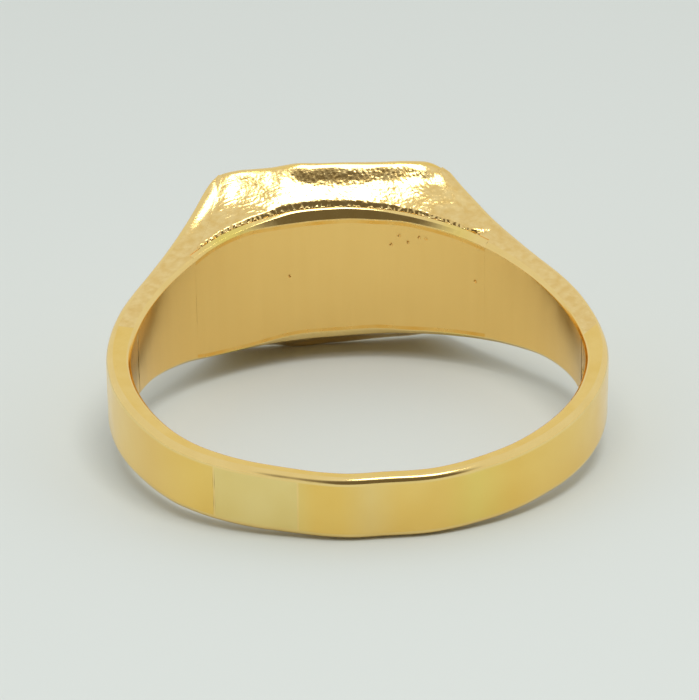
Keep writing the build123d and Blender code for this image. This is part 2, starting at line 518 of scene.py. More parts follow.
@dataclass(frozen=True)
class Section:
    """Section of the ring's wall between a point of the hole's wall and one of the outer line."""

    shape: RingShape
    inner: Flat
    outer: Flat
    rim_round: float
    chords: Chords
    rise: float
    run: float
    near: float = 0.6
    softness: float = 0.9

    def width_at(self, distance: float) -> float:
        """Half width at a distance out from the inner point."""
        span = hypot(self.outer[0] - self.inner[0], self.outer[1] - self.inner[1])
        return self.shape.half_width(*mix(self.inner, self.outer, distance / span))

    def half(self) -> tuple[list[Flat], list[Zone]]:
        """Upper half of the section, from the middle of the hole's wall to the middle outside.

        Returns:
            Points as distance outwards and Z, and the zone of each step between them.
        """
        span = hypot(self.outer[0] - self.inner[0], self.outer[1] - self.inner[1])
        foot = (0.0, self.width_at(0.0) - self.run)
        shelf = (self.rise, self.width_at(self.rise))
        rim = (span, self.width_at(span))
        soft = self.softness * min(self.rise, self.run)
        corner = self.chords.corner
        after = min(self.rise + self.near, span)
        before = max(span - self.near, self.rise)
        low = rounded((0.0, 0.0), foot, shelf, soft, corner)
        high = rounded(foot, shelf, (after, self.width_at(after)), soft, corner)
        below = (before, self.width_at(before))
        top = rounded(below, rim, (span, 0.0), self.rim_round, corner + 2)
        lip = (0.0, low[0][1] - self.shape.rim_strip)
        points: list[Flat] = []
        zones: list[Zone] = []
        runs = (
            ([(0.0, 0.0), lip], self.chords.bore // 2, Zone.BORE),
            ([lip, low[0]], 2, Zone.RIM),
            (low, 0, Zone.EDGE),
            ([low[-1], high[0]], self.chords.bevel, Zone.EDGE),
            (high, 0, Zone.EDGE),
            ([high[-1], top[0]], self.chords.flank, Zone.FLANK),
            (top, 0, Zone.EDGE),
            ([top[-1], (span, 0.0)], self.chords.outside // 2, Zone.OUTSIDE),
        )
        for line, count, zone in runs:
            if count:
                line = [mix(line[0], line[1], k / count) for k in range(count + 1)]
            if zone is Zone.FLANK:
                line = [self.on_flank(p, line[0], line[-1]) for p in line]
            zones += [zone] * (len(line) - 1)
            points += line if not points else line[1:]
        return points, zones

    def on_flank(self, point: Flat, start: Flat, end: Flat) -> Flat:
        """Moves a point of the straight flank line onto the curved flank.

        Args:
            point: Point of the chord.
            start: Chord's start.
            end: Chord's end.

        Returns:
            The moved point.
        """
        share = (point[0] - start[0]) / (end[0] - start[0])
        chord = self.width_at(start[0]) + (self.width_at(end[0]) - self.width_at(start[0])) * share
        return point[0], point[1] + self.width_at(point[0]) - chord

    def loop(self) -> tuple[list[Solid], list[Zone]]:
        """Closed section, upper half then lower half.

        Returns:
            Points in space, and the zone of each side of the loop.
        """
        half, zones = self.half()
        span = half[-1][0]
        both = half + [(d, -z) for d, z in reversed(half[1:-1])]
        points = []
        for distance, z in both:
            x, y = mix(self.inner, self.outer, distance / span)
            points.append((x, y, z))
        return points, zones + zones[::-1]


@dataclass
class Piece:
    """A mesh under way: points in millimetres, faces and the zone of each."""

    name: str
    points: list[Solid] = field(default_factory=list)
    faces: list[tuple[int, ...]] = field(default_factory=list)
    zones: list[Zone] = field(default_factory=list)

    def add_face(self, corners: Sequence[int], zone: Zone) -> None:
        """Adds one face."""
        self.faces.append(tuple(corners))
        self.zones.append(zone)

    def loft(self, loops: Sequence[Sequence[Solid]], zones: Sequence[Zone]) -> None:
        """Skins closed loops into a solid with both ends capped by strips of faces.

        Args:
            loops: Loops of equal length, each symmetrical about its first point.
            zones: Zone of each side of a loop.
        """
        first = len(self.points)
        count = len(loops[0])
        for loop in loops:
            self.points += list(loop)
        for row in range(len(loops) - 1):
            a = first + row * count
            for k in range(count):
                n = (k + 1) % count
                self.add_face((a + k, a + n, a + count + n, a + count + k), zones[k])
        for start in (first, first + (len(loops) - 1) * count):
            for k in range(count // 2):
                low = start + (count - k) % count
                lower = start + count - k - 1
                corners = [start + k, start + k + 1, lower, low]
                self.add_face(list(dict.fromkeys(corners)), Zone.END)

    def slab(
        self, rows: int, columns: int, top: Callable[[float, float], Solid], depth: float
    ) -> None:
        """Adds a closed plate with a fine upper surface and a plain one under it.

        Args:
            rows: Faces along the first direction.
            columns: Faces along the second.
            top: Gives a point of the upper surface for two numbers from 0 to 1.
            depth: Thickness along Z, signed.
        """
        first = len(self.points)
        across = columns + 1
        upper = [
            top(i / rows, j / columns) for i in range(rows + 1) for j in range(columns + 1)
        ]
        self.points += upper + [(x, y, z - depth) for x, y, z in upper]
        under = first + len(upper)
        for i in range(rows):
            for j in range(columns):
                a = i * across + j
                quad = (a, a + 1, a + across + 1, a + across)
                self.add_face([first + k for k in quad], Zone.FLANK)
                self.add_face([under + k for k in reversed(quad)], Zone.END)
        rim = [i * across for i in range(rows)]
        rim += [rows * across + j for j in range(columns)]
        rim += [i * across + columns for i in range(rows, 0, -1)]
        rim += list(range(columns, 0, -1))
        for k, a in enumerate(rim):
            b = rim[(k + 1) % len(rim)]
            self.add_face((first + a, first + b, under + b, under + a), Zone.END)

    def carve(self, flaws: Sequence[Flaw]) -> None:
        """Pushes the surface in at each flaw.

        Args:
            flaws: The pits, nicks and voids to sink.
        """
        for flaw in flaws:
            for k, point in enumerate(self.points):
                dx, dy, dz = flaw.shift(point)
                self.points[k] = (point[0] + dx, point[1] + dy, point[2] + dz)

    def place(self, finishes: "dict[Zone, Finish]", slot: str) -> bpy.types.Object:
        """Writes the mesh, dresses it and puts it in place of its node.

        Args:
            finishes: Finish of each zone.
            slot: Material slot of the record; not used.

        Returns:
            The new object.
        """
        mesh = bpy.data.meshes.new(self.name)
        mesh.from_pydata([(x * MM, y * MM, z * MM) for x, y, z in self.points], [], self.faces)
        order = list(dict.fromkeys(finishes.values()))
        for finish in order:
            mesh.materials.append(finish.material())
        index = {zone: order.index(finish) for zone, finish in finishes.items()}
        mesh.polygons.foreach_set("material_index", [index[zone] for zone in self.zones])
        mesh.polygons.foreach_set("use_smooth", [True] * len(mesh.polygons))
        self.turn_outwards(mesh)
        mesh.set_sharp_from_angle(angle=radians(SHARP_EDGE))
        made = bpy.data.objects.new(f"{self.name}_worked", mesh)
        bpy.context.scene.collection.objects.link(made)
        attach(made, BODY)
        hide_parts(self.name)
        log.info("%s: %d points, %d faces", made.name, len(mesh.vertices), len(mesh.polygons))
        return made

    @staticmethod
    def turn_outwards(mesh: bpy.types.Mesh) -> None:
        """Makes every face of a closed mesh look outwards.

        Args:
            mesh: The mesh to turn.
        """
        work = bmesh.new()
        work.from_mesh(mesh)
        bmesh.ops.recalc_face_normals(work, faces=work.faces)
        work.to_mesh(mesh)
        work.free()


def ramped(
    tree: bpy.types.NodeTree,
    value: bpy.types.NodeSocket,
    stops: Sequence[tuple[float, Colour]],
) -> bpy.types.NodeSocket:
    """Adds a colour ramp.

    Args:
        tree: Node tree to add to.
        value: Socket that drives the ramp.
        stops: Position and colour of each stop, in order.

    Returns:
        The colour's socket.
    """
    ramp = tree.nodes.new("ShaderNodeValToRGB")
    elements = ramp.color_ramp.elements
    elements[0].position, elements[0].color = stops[0][0], (*stops[0][1], 1.0)
    elements[1].position, elements[1].color = stops[-1][0], (*stops[-1][1], 1.0)
    for position, colour in stops[1:-1]:
        elements.new(position).color = (*colour, 1.0)
    tree.links.new(value, ramp.inputs["Fac"])
    return ramp.outputs["Color"]


@dataclass(frozen=True)
class Grain:
    """Marks of one tool in the surface."""

    size: float
    depth: float
    stroke: Stroke = Stroke.EVEN
    detail: float = 2.0


@dataclass(frozen=True)
class Tint:
    """Change of colour at one place round the band."""

    angle: float
    colour: Colour


@dataclass(frozen=True)
class Finish:
    """How one worked gold surface takes colour, gloss and tool marks."""

    name: str
    colour: Colour
    cloud: Colour
    cloud_size: float
    roughness: float
    roughness_spread: float
    grains: tuple[Grain, ...]
    cloud_stroke: Stroke = Stroke.EVEN
    tints: tuple[Tint, ...] = ()
    cloud_range: Flat = (0.32, 0.68)
    smear_range: Flat = (0.3, 0.7)
    smear_share: float = 0.4

    def material(self) -> bpy.types.Material:
        """Gives the finish as a material, made once.

        Returns:
            The material.
        """
        found = bpy.data.materials.get(self.name)
        return found if found else self.build()

    def build(self) -> bpy.types.Material:
        """Builds the material's nodes.

        Returns:
            The new material.
        """
        made = bpy.data.materials.new(self.name)
        made.use_nodes = True
        tree = made.node_tree
        tree.nodes.clear()
        output = tree.nodes.new("ShaderNodeOutputMaterial")
        gold = tree.nodes.new("ShaderNodeBsdfPrincipled")
        gold.inputs["Metallic"].default_value = 1.0
        tree.links.new(gold.outputs["BSDF"], output.inputs["Surface"])
        place = tree.nodes.new("ShaderNodeTexCoord").outputs["Object"]
        clouds = self.noise(tree, place, self.cloud_size, self.cloud_stroke, 3.0)
        stops = zip(self.cloud_range, (self.cloud, self.colour))
        colour = ramped(tree, clouds, list(stops))
        if self.tints:
            colour = self.tinted(tree, place, colour)
        tree.links.new(colour, gold.inputs["Base Color"])
        smear_size = self.cloud_size * self.smear_share
        smears = self.noise(tree, place, smear_size, self.cloud_stroke, 4.0)
        gloss = tree.nodes.new("ShaderNodeMapRange")
        for name, value in (
            ("From Min", self.smear_range[0]),
            ("From Max", self.smear_range[1]),
            ("To Min", self.roughness - self.roughness_spread),
            ("To Max", self.roughness + self.roughness_spread),
        ):
            gloss.inputs[name].default_value = value
        tree.links.new(smears, gloss.inputs["Value"])
        tree.links.new(gloss.outputs["Result"], gold.inputs["Roughness"])
        normal = None
        for grain in self.grains:
            height = self.noise(tree, place, grain.size, grain.stroke, grain.detail)
            bump = tree.nodes.new("ShaderNodeBump")
            bump.inputs["Strength"].default_value = 1.0
            bump.inputs["Distance"].default_value = grain.depth * MM
            tree.links.new(height, bump.inputs["Height"])
            if normal:
                tree.links.new(normal, bump.inputs["Normal"])
            normal = bump.outputs["Normal"]
        if normal:
            tree.links.new(normal, gold.inputs["Normal"])
        return made

    @staticmethod
    def noise(
        tree: bpy.types.NodeTree,
        place: bpy.types.NodeSocket,
        size: float,
        stroke: Stroke,
        detail: float,
    ) -> bpy.types.NodeSocket:
        """Adds a noise of a given grain size, stretched along a tool's stroke.

        Args:
            tree: Node tree to add to.
            place: Socket with the place on the object.
            size: Grain size in millimetres.
            stroke: Direction of the stroke.
            detail: Layers of finer noise.

        Returns:
            The noise's value socket.
        """
        scale = tree.nodes.new("ShaderNodeMapping")
        scale.inputs["Scale"].default_value = [k / (size * MM) for k in stroke.value]
        texture = tree.nodes.new("ShaderNodeTexNoise")
        texture.inputs["Scale"].default_value = 1.0
        texture.inputs["Detail"].default_value = detail
        tree.links.new(place, scale.inputs["Vector"])
        tree.links.new(scale.outputs["Vector"], texture.inputs["Vector"])
        return texture.outputs["Fac"]

    def tinted(
        self, tree: bpy.types.NodeTree, place: bpy.types.NodeSocket, colour: bpy.types.NodeSocket
    ) -> bpy.types.NodeSocket:
        """Multiplies the colour by the casts that lie round the band.

        Args:
            tree: Node tree to add to.
            place: Socket with the place on the object.
            colour: Socket with the colour so far.

        Returns:
            The tinted colour's socket.
        """
        around = tree.nodes.new("ShaderNodeTexGradient")
        around.gradient_type = "RADIAL"
        tree.links.new(place, around.inputs["Vector"])
        stops = sorted((((t.angle + 180) % 360) / 360, t.colour) for t in self.tints)
        casts = ramped(tree, around.outputs["Fac"], stops)
        blend = tree.nodes.new("ShaderNodeMix")
        blend.data_type = "RGBA"
        blend.blend_type = "MULTIPLY"
        blend.inputs["Factor"].default_value = 1.0
        tree.links.new(colour, blend.inputs["A"])
        tree.links.new(casts, blend.inputs["B"])
        return blend.outputs["Result"]


@dataclass(frozen=True)
class GoldBench:
    """The finishes of this ring."""

    polished: Finish = Finish(
        name="gold_polished_outside",
        colour=(0.98, 0.68, 0.2),
        cloud=(0.94, 0.62, 0.16),
        cloud_size=3.0,
        roughness=0.2,
        roughness_spread=0.05,
        grains=(Grain(0.5, 0.0015), Grain(0.12, 0.0004, Stroke.ROUND_BAND)),
        tints=(
            Tint(-170, (1.0, 1.03, 1.2)),
            Tint(-150, (1.0, 1.02, 1.2)),
            Tint(-135, (1.0, 1.0, 0.95)),
            Tint(-110, (0.97, 1.05, 1.2)),
            Tint(-106, (1.0, 1.0, 0.95)),
            Tint(-100, (1.0, 1.0, 0.95)),
            Tint(-93, (0.97, 1.03, 1.3)),
            Tint(-86, (1.0, 1.0, 1.0)),
            Tint(-76, (1.0, 1.02, 1.05)),
            Tint(-68, (0.97, 1.1, 1.1)),
            Tint(-58, (1.0, 1.0, 0.95)),
            Tint(-40, (1.0, 1.02, 1.1)),
        ),
    )
    pale: Finish = Finish(
        name="gold_pale_outside",
        colour=(0.93, 0.74, 0.3),
        cloud=(0.9, 0.7, 0.26),
        cloud_size=1.6,
        roughness=0.22,
        roughness_spread=0.05,
        grains=(Grain(0.5, 0.0015), Grain(0.12, 0.0004, Stroke.ROUND_BAND)),
    )
    burnished: Finish = Finish(
        name="gold_burnished_edge",
        colour=(0.99, 0.74, 0.3),
        cloud=(0.96, 0.7, 0.26),
        cloud_size=1.2,
        roughness=0.14,
        roughness_spread=0.04,
        grains=(Grain(0.3, 0.001),),
    )
    flank: Finish = Finish(
        name="gold_flank_buffed",
        colour=(0.99, 0.71, 0.23),
        cloud=(0.96, 0.66, 0.18),
        cloud_size=1.0,
        roughness=0.14,
        roughness_spread=0.05,
        grains=(Grain(0.3, 0.0015), Grain(0.1, 0.0006, Stroke.ROUND_BAND)),
    )
    satin: Finish = Finish(
        name="gold_satin_inside",
        colour=(1.0, 0.67, 0.22),
        cloud=(0.98, 0.65, 0.21),
        cloud_size=0.4,
        roughness=0.21,
        roughness_spread=0.03,
        grains=(Grain(0.14, 0.0012, Stroke.THROUGH_HOLE),),
        cloud_stroke=Stroke.THROUGH_HOLE,
    )
    # Painted shade: a darker, more orange strip along the hole's wall just under the back plate's
    # bevel edge.
    rim_painted_shade: Finish = Finish(
        name="gold_rim_painted_shade",
        colour=(0.93, 0.5, 0.09),
        cloud=(0.98, 0.64, 0.19),
        cloud_size=1.4,
        roughness=0.26,
        roughness_spread=0.03,
        grains=(Grain(0.2, 0.002),),
    )
    filed: Finish = Finish(
        name="gold_filed_flank",
        colour=(0.99, 0.75, 0.33),
        cloud=(0.9, 0.62, 0.22),
        cloud_size=0.35,
        roughness=0.15,
        roughness_spread=0.05,
        grains=(Grain(0.1, 0.004), Grain(0.12, 0.002, Stroke.ACROSS_HEAD)),
    )
    strip: Finish = Finish(
        name="gold_burnished_strip",
        colour=(0.99, 0.74, 0.3),
        cloud=(0.96, 0.7, 0.26),
        cloud_size=0.5,
        roughness=0.13,
        roughness_spread=0.05,
        grains=(Grain(0.3, 0.0015), Grain(0.08, 0.0008, Stroke.ROUND_BAND)),
        tints=(
            Tint(50, (1.0, 1.0, 1.0)),
            Tint(57, (0.98, 1.02, 0.8)),
            Tint(66, (1.0, 1.0, 1.0)),
            Tint(110, (1.0, 1.0, 1.0)),
            Tint(117, (0.97, 1.05, 0.7)),
            Tint(122, (0.97, 1.05, 0.7)),
            Tint(129, (1.0, 1.0, 1.0)),
        ),
    )
    # Solder's own duller colour; its dark clouds also paint the shade inside the seams' grooves.
    solder: Finish = Finish(
        name="gold_solder_painted_shade",
        colour=(0.66, 0.46, 0.17),
        cloud=(0.3, 0.19, 0.06),
        cloud_size=0.15,
        roughness=0.4,
        roughness_spread=0.1,
        grains=(Grain(0.07, 0.006),),
    )

    def band(self, outside: Finish, flank: Finish) -> dict[Zone, Finish]:
        """Finishes of a length of band or a shoulder.

        Args:
            outside: Finish of its outer face.
            flank: Finish of its two flanks.

        Returns:
            The finish of each zone.
        """
        return {
            Zone.BORE: self.satin,
            Zone.RIM: self.satin,
            Zone.EDGE: self.burnished,
            Zone.FLANK: flank,
            Zone.OUTSIDE: outside,
            Zone.END: self.solder,
        }


@dataclass
class Joint:
    """A soldered joint across the band: where its line meets the hole's wall and the outer line."""

    inner: float
    outer: float

    @classmethod
    def at(cls, node: str, shape: RingShape, slant: float = 0.0) -> "Joint":
        """Finds a joint from its node.

        Args:
            node: Name of the seam's node.
            shape: The ring's shape.
            slant: How far the joint is turned from square, in degrees.

        Returns:
            The joint.
        """
        low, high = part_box(node)
        middle = polar_angle((low + high) / 2)
        skew = degrees((shape.outer_radius - shape.bore_radius) / 2 / shape.bore_radius)
        skew *= sin(radians(slant)) / cos(radians(slant))
        return cls(middle - skew, middle + skew)


@dataclass
class Shank:
    """The band from the left joint round the palm to the right joint, with its sizing piece."""

    shape: RingShape
    bench: GoldBench
    step: float = 0.8
    seam_half: float = 0.2
    rim_round: float = 0.36
    slant: float = 45.0
    straighten: float = 16.0
    punch_angles: tuple[float, ...] = (-1.5, -6.5, -11.5)
    punch_size: float = 0.55
    punch_depth: float = 0.1
    punch_wall: Flat = (-0.03, 0.05)
    punch_near: float = 0.03
    punch_lozenge: float = 0.8
    punch_square: float = 0.7
    chords: Chords = Chords(bore=28, bevel=2, corner=4, flank=6, outside=18)

    def build(self) -> None:
        """Builds the three lengths of band and the four joints."""
        left = Joint.at("left_shank_seam", self.shape)
        start = Joint.at("left_sizing_seam", self.shape)
        end = Joint.at("right_sizing_seam", self.shape)
        right = Joint.at("right_shank_seam", self.shape, self.slant)
        right = Joint(right.inner + 360, right.outer + 360)
        self.length("left_shank", left, start, self.bench.polished, "gold_polished")
        self.length("sizing_piece", start, end, self.bench.pale, "gold_pale")
        self.length("right_shank", end, right, self.bench.polished, "gold_polished")
        for name, joint in (
            ("left_shank_seam", left),
            ("left_sizing_seam", start),
            ("right_sizing_seam", end),
            ("right_shank_seam", right),
        ):
            self.seam(name, joint)

    def loops(
        self, stations: Sequence[tuple[float, float]]
    ) -> tuple[list[list[Solid]], list[Zone]]:
        """Sections of the band at a list of stations.

        Args:
            stations: Angles of the inner and the outer point of each.

        Returns:
            The loops, and the zones of their sides.
        """
        loops = []
        zones: list[Zone] = []
        for inner, outer in stations:
            inside = self.shape.wandered(polar(self.shape.bore_radius, inner))
            outside = self.shape.wandered(self.shape.outline(outer))
            rise, run = self.shape.bevel(inside)
            section = Section(
                self.shape, inside, outside, self.rim_round, self.chords, rise, run
            )
            points, zones = section.loop()
            loops.append([self.shape.worked(self.punched(p)) for p in points])
        return loops, zones

    def punched(self, point: Solid) -> Solid:
        """Sinks a point that lies in one of the plain punch marks.

        Args:
            point: Point of the band.

        Returns:
            The point, moved outwards into the wall where a mark is.
        """
        x, y, z = point
        radius = hypot(x, y)
        if radius > self.shape.bore_radius + self.punch_near or x < 0 or abs(z) > self.punch_size:
            return point
        angle = degrees(atan2(y, x))
        for number, middle in enumerate(self.punch_angles):
            along = abs(radians(angle - middle)) * self.shape.bore_radius
            across = abs(z)
            size = self.punch_size / 2
            if number == 0:
                inside = size - (along + across) * self.punch_lozenge
            elif number == 1:
                inside = size - hypot(along, across)
            else:
                inside = min(size - along, size * self.punch_square - across)
            sink = self.punch_depth * ease(*self.punch_wall, inside)
            if sink > 0:
                grow = (radius + sink) / radius
                return x * grow, y * grow, z
        return point

    def length(self, name: str, start: Joint, end: Joint, outside: Finish, slot: str) -> None:
        """Builds one length of band between two joints.

        Args:
            name: Its node.
            start: Joint it starts at.
            end: Joint it ends at.
            outside: Finish of its outer face.
            slot: Material slot of the record.
        """
        count = round((end.inner - start.inner) / self.step)
        half = self.seam_half
        skew = end.outer - end.inner
        stations = []
        for k in range(count + 1):
            inner = start.inner + half + (end.inner - start.inner - 2 * half) * k / count
            lean = skew * ease(end.inner - self.straighten, end.inner, inner)
            stations.append((inner, inner + lean))
        piece = Piece(name)
        loops, zones = self.loops(stations)
        piece.loft(loops, zones)
        piece.place(self.bench.band(outside, self.bench.flank), slot)

    def seam(self, name: str, joint: Joint) -> None:
        """Builds the solder in one joint.

        Args:
            name: Its node.
            joint: Where it is.
        """
        shifts = (-self.seam_half, 0.0, self.seam_half)
        loops, zones = self.loops([(joint.inner + s, joint.outer + s) for s in shifts])
        piece = Piece(name)
        piece.loft(loops, zones)
        bench = self.bench
        piece.place(
            {
                Zone.BORE: bench.solder,
                Zone.RIM: bench.solder,
                Zone.EDGE: bench.burnished,
                Zone.FLANK: bench.flank,
                Zone.OUTSIDE: bench.burnished,
                Zone.END: bench.solder,
            },
            "solder",
        )


@dataclass(frozen=True)
class FileMarks:
    """Marks that file and scraper leave on a side plate: length and width, and height."""

    grain: Flat = (0.13, 0.13)
    grain_height: float = 0.007
    fine: Flat = (0.07, 0.07)
    fine_height: float = 0.003
    swell: Flat = (0.9, 0.7)
    swell_height: float = 0.025
    scratch: Flat = (0.55, 0.08)
    scratch_lean: float = 0.22
    scratch_least: float = 0.12
    scratch_height: float = 0.03
    left_zone: Flat = (-4.0, -1.0)
    grain_shares: Flat = (1.2, -0.5)
    scratch_shares: Flat = (0.15, 0.85)
    plate_layer: float = 7.0

    def height(self, x: float, y: float, side: Side) -> float:
        """Height of the marks at a point; scratches gather at the plate's left.

        Args:
            x: Place along X.
            y: Place along Y.
            side: Which plate.

        Returns:
            The height to add along Z.
        """
        layer = self.plate_layer * side.value
        grain = marks(x, y, self.grain, layer) * self.grain_height
        fine = marks(x, y, self.fine, layer) * self.fine_height
        swell = marks(x, y, self.swell, layer) * self.swell_height
        stroke = marks(x, y - self.scratch_lean * x, self.scratch, layer)
        scratch = max(stroke - self.scratch_least, 0.0) * self.scratch_height
        left = 1 - ease(*self.left_zone, x)
        grain *= self.grain_shares[0] + self.grain_shares[1] * left
        scratch *= self.scratch_shares[0] + self.scratch_shares[1] * left
        return swell + grain + fine + scratch


@dataclass
class Head:
    """The signet head: table, shoulders, side plates, back plate and the seams between them."""

    shape: RingShape
    bench: GoldBench
    slant: float = 45.0
    lip: float = 0.4
    register: float = 0.5
    plate: float = 0.5
    back_plate: float = 0.35
    solder_gap: float = 0.08
    shoulder_wall: float = 0.5
    back_half_angle: float = 41.0
    hollow_half_angle: float = 38.0
    rim_round: float = 0.3
    table_round: float = 0.26
    crown: float = 0.02
    seam_drop: float = 0.14
    seam_grain: float = 0.08
    seam_lump: Flat = (0.13, 0.13)
    mitre: float = 0.53
    hairline: float = 0.008
    joint_inset: float = 0.2
    seam_depth: float = 0.4
    back_rim_round: float = 0.05
    outer_lead: float = 2.0
    outer_lead_step: float = 0.1
    joint_run: float = 14.0
    file_marks: FileMarks = FileMarks()
    calm: Solid = (0.25, 0.3, 0.4)
    edge_tear: Flat = (0.14, 0.14)
    edge_roll: float = 0.12
    edge_drop: float = 0.11
    edge_tear_share: float = 0.8
    voids: tuple[Flaw, ...] = (
        Flaw((5.95, 8.12, 2.75), (0.22, 0.09, 0.6), (0.0, 0.0, -0.3)),
        Flaw((6.3, 8.2, 2.75), (0.4, 0.05, 0.6), (0.0, 0.0, -0.1)),
        Flaw((5.67, 9.5, 3.6), (0.05, 0.7, 0.8), (0.0, 0.0, -0.05)),
    )
    pits: tuple[Solid, ...] = (
        (2.78, 9.29, 2.07),
        (3.63, 8.99, 2.08),
        (3.93, 8.87, 2.07),
        (3.16, 9.17, 1.76),
        (2.43, 9.39, 1.59),
        (-2.07, 9.48, 0.23),
        (5.96, 7.65, 0.44),
    )
    pit_size: float = 0.04
    pit_depth: float = 0.12
    butt: float = 0.12

    @property
    def seat_radius(self) -> float:
        """Radius of the back plate's outer face."""
        return self.shape.bore_radius + self.back_plate

    @property
    def panel_radius(self) -> float:
        """Radius of the side plates' lower edge."""
        return self.seat_radius + self.solder_gap

    @property
    def lip_level(self) -> float:
        """Level of the table plate's underside."""
        return self.shape.table_level - self.lip

    @property
    def panel_top(self) -> float:
        """Half length of the side plates along their upper edge.

        Returns:
            The half length.
        """
        facing = radians(self.shape.slope_angle)
        run = sin(facing) / cos(facing)
        return self.shape.half_table + self.lip * run - self.shoulder_wall / cos(facing)

    def build(self) -> None:
        """Builds every piece of the head."""
        self.build_table()
        self.build_shoulder("right_shoulder", Side.PLUS)
        self.build_shoulder("left_shoulder", Side.MINUS)
        self.build_back_plate()
        self.build_side_plate("upper_side_plate", Side.PLUS)
        self.build_side_plate("lower_side_plate", Side.MINUS)
        self.build_back_seam("upper_back_seam", Side.PLUS)
        self.build_back_seam("lower_back_seam", Side.MINUS)

    def build_table(self) -> None:
        """Builds the table plate with the register step under it."""
        foot = self.shape.half_table - self.lip * self.mitre
        corner = polar_angle((self.shape.half_table, self.shape.table_level))
        count = 110
        piece = Piece("table_plate")
        loops = []
        zones: list[Zone] = []
        for k in range(count + 1):
            share = k / count
            inner = (foot - 2 * foot * share, self.lip_level)
            outer = self.shape.outline(corner + (180 - 2 * corner) * share)
            points, zones = self.table_loop(inner, outer)
            loops.append([self.shape.worked(p) for p in points])
        piece.loft(loops, zones)
        bench = self.bench
        piece.place(
            {
                Zone.END: bench.solder,
                Zone.EDGE: bench.burnished,
                Zone.FLANK: bench.flank,
                Zone.OUTSIDE: bench.polished,
                Zone.BORE: bench.solder,
            },
            "gold_table",
        )

    def table_loop(self, inner: Flat, outer: Flat) -> tuple[list[Solid], list[Zone]]:
        """Section across the table plate.

        Args:
            inner: Point on the lip's underside.
            outer: Point on the signet face.

        Returns:
            The loop and the zone of each side.
        """
        span = hypot(outer[0] - inner[0], outer[1] - inner[1])
        step = self.register / span
        width = [self.shape.half_width(*mix(inner, outer, t)) for t in (-step, 0.0, 1.0)]
        inset = self.plate
        half: list[Flat] = [(-step, (width[0] - inset) * k / 4) for k in range(5)]
        half.append((0.0, width[1] - inset))
        half.append((0.0, width[1]))
        zones = [Zone.BORE] * 6
        lower = (0.0, width[1])
        rim = (span, width[2])
        extended = (-span, 2 * width[1] - width[2])
        top = rounded(extended, rim, (span, 0.0), self.table_round, 8)
        flank = [mix(lower, top[0], k / 4) for k in range(1, 5)]
        for distance, z in flank + top[1:]:
            share = min(distance / span, 1.0)
            chord = width[1] + (width[2] - width[1]) * share
            bulge = self.shape.half_width(*mix(inner, outer, share)) - chord
            half.append((share, z + bulge))
        zones += [Zone.FLANK] * 4 + [Zone.EDGE] * 8
        face = [mix(top[-1], (span, 0.0), k / 26) for k in range(1, 27)]
        half += [(d / span, z) for d, z in face]
        zones += [Zone.OUTSIDE] * 26
        both = half + [(t, -z) for t, z in reversed(half[1:-1])]
        loop = [(*mix(inner, outer, t), z) for t, z in both]
        return loop, zones + zones[::-1]

    def build_shoulder(self, name: str, side: Side) -> None:
        """Builds one shoulder, from its joint with the shank to the table's mitre.

        Args:
            name: Its node.
            side: Which shoulder it is.
        """
        shape = self.shape
        right = side is Side.PLUS
        joint = Joint.at("right_shank_seam", shape, self.slant if right else 0.0)
        if not right:
            left = Joint.at("left_shank_seam", shape)
            joint = Joint(180 - left.inner, 180 - left.outer)
        gap, run_in = self.joint_inset, self.joint_run
        lead, nudge = self.outer_lead, self.outer_lead_step
        back = 90 - self.back_half_angle
        hollow = 90 - self.hollow_half_angle
        corner = polar_angle((shape.half_table, shape.table_level))
        panel_foot = polar(self.panel_radius, hollow)
        keys = (
            (polar(shape.bore_radius, joint.inner + gap), joint.outer + gap, 1),
            (polar(shape.bore_radius, joint.inner + run_in), joint.outer + run_in, 22),
            (polar(shape.bore_radius, back), back - lead, 50),
            (polar(self.seat_radius, back), back - lead + nudge, 1),
            (polar(self.seat_radius, hollow), hollow - lead - nudge, 8),
            (panel_foot, hollow - lead, 1),
            ((self.panel_top, self.lip_level), corner - lead, 44),
            ((shape.half_table - self.lip * self.mitre, self.lip_level), corner, 4),
        )
        sign = side.value
        chords = Chords(bore=24, bevel=4, corner=4, flank=16, outside=20)
        loops = []
        zones: list[Zone] = []
        for number, (inner, outer, count) in enumerate(keys):
            before_inner, before_outer, _ = keys[max(number - 1, 0)]
            for k in range(1, count + 1):
                share = k / count
                inside = mix(before_inner, inner, share)
                if number in (1, 2, 4):
                    angle_a, angle_b = polar_angle(before_inner), polar_angle(inner)
                    radius = hypot(*inner)
                    angle_a = angle_a - 360 if angle_a > 180 else angle_a
                    inside = polar(radius, angle_a + (angle_b - angle_a) * share)
                angle = before_outer + (outer - before_outer) * share
                outside = shape.outline(angle if right else 180 - angle)
                inside = (inside[0] * sign, inside[1])
                if number < 3:
                    rise, run = shape.bevel(inside)
                else:
                    rise, run = self.hairline, self.hairline
                section = Section(shape, inside, outside, self.rim_round, chords, rise, run)
                points, zones = section.loop()
                loops.append([shape.worked(p) for p in points])
        piece = Piece(name)
        piece.loft(loops, zones)
        if right:
            piece.carve(self.voids)
        piece.place(self.bench.band(self.bench.polished, self.bench.filed), "gold_polished")

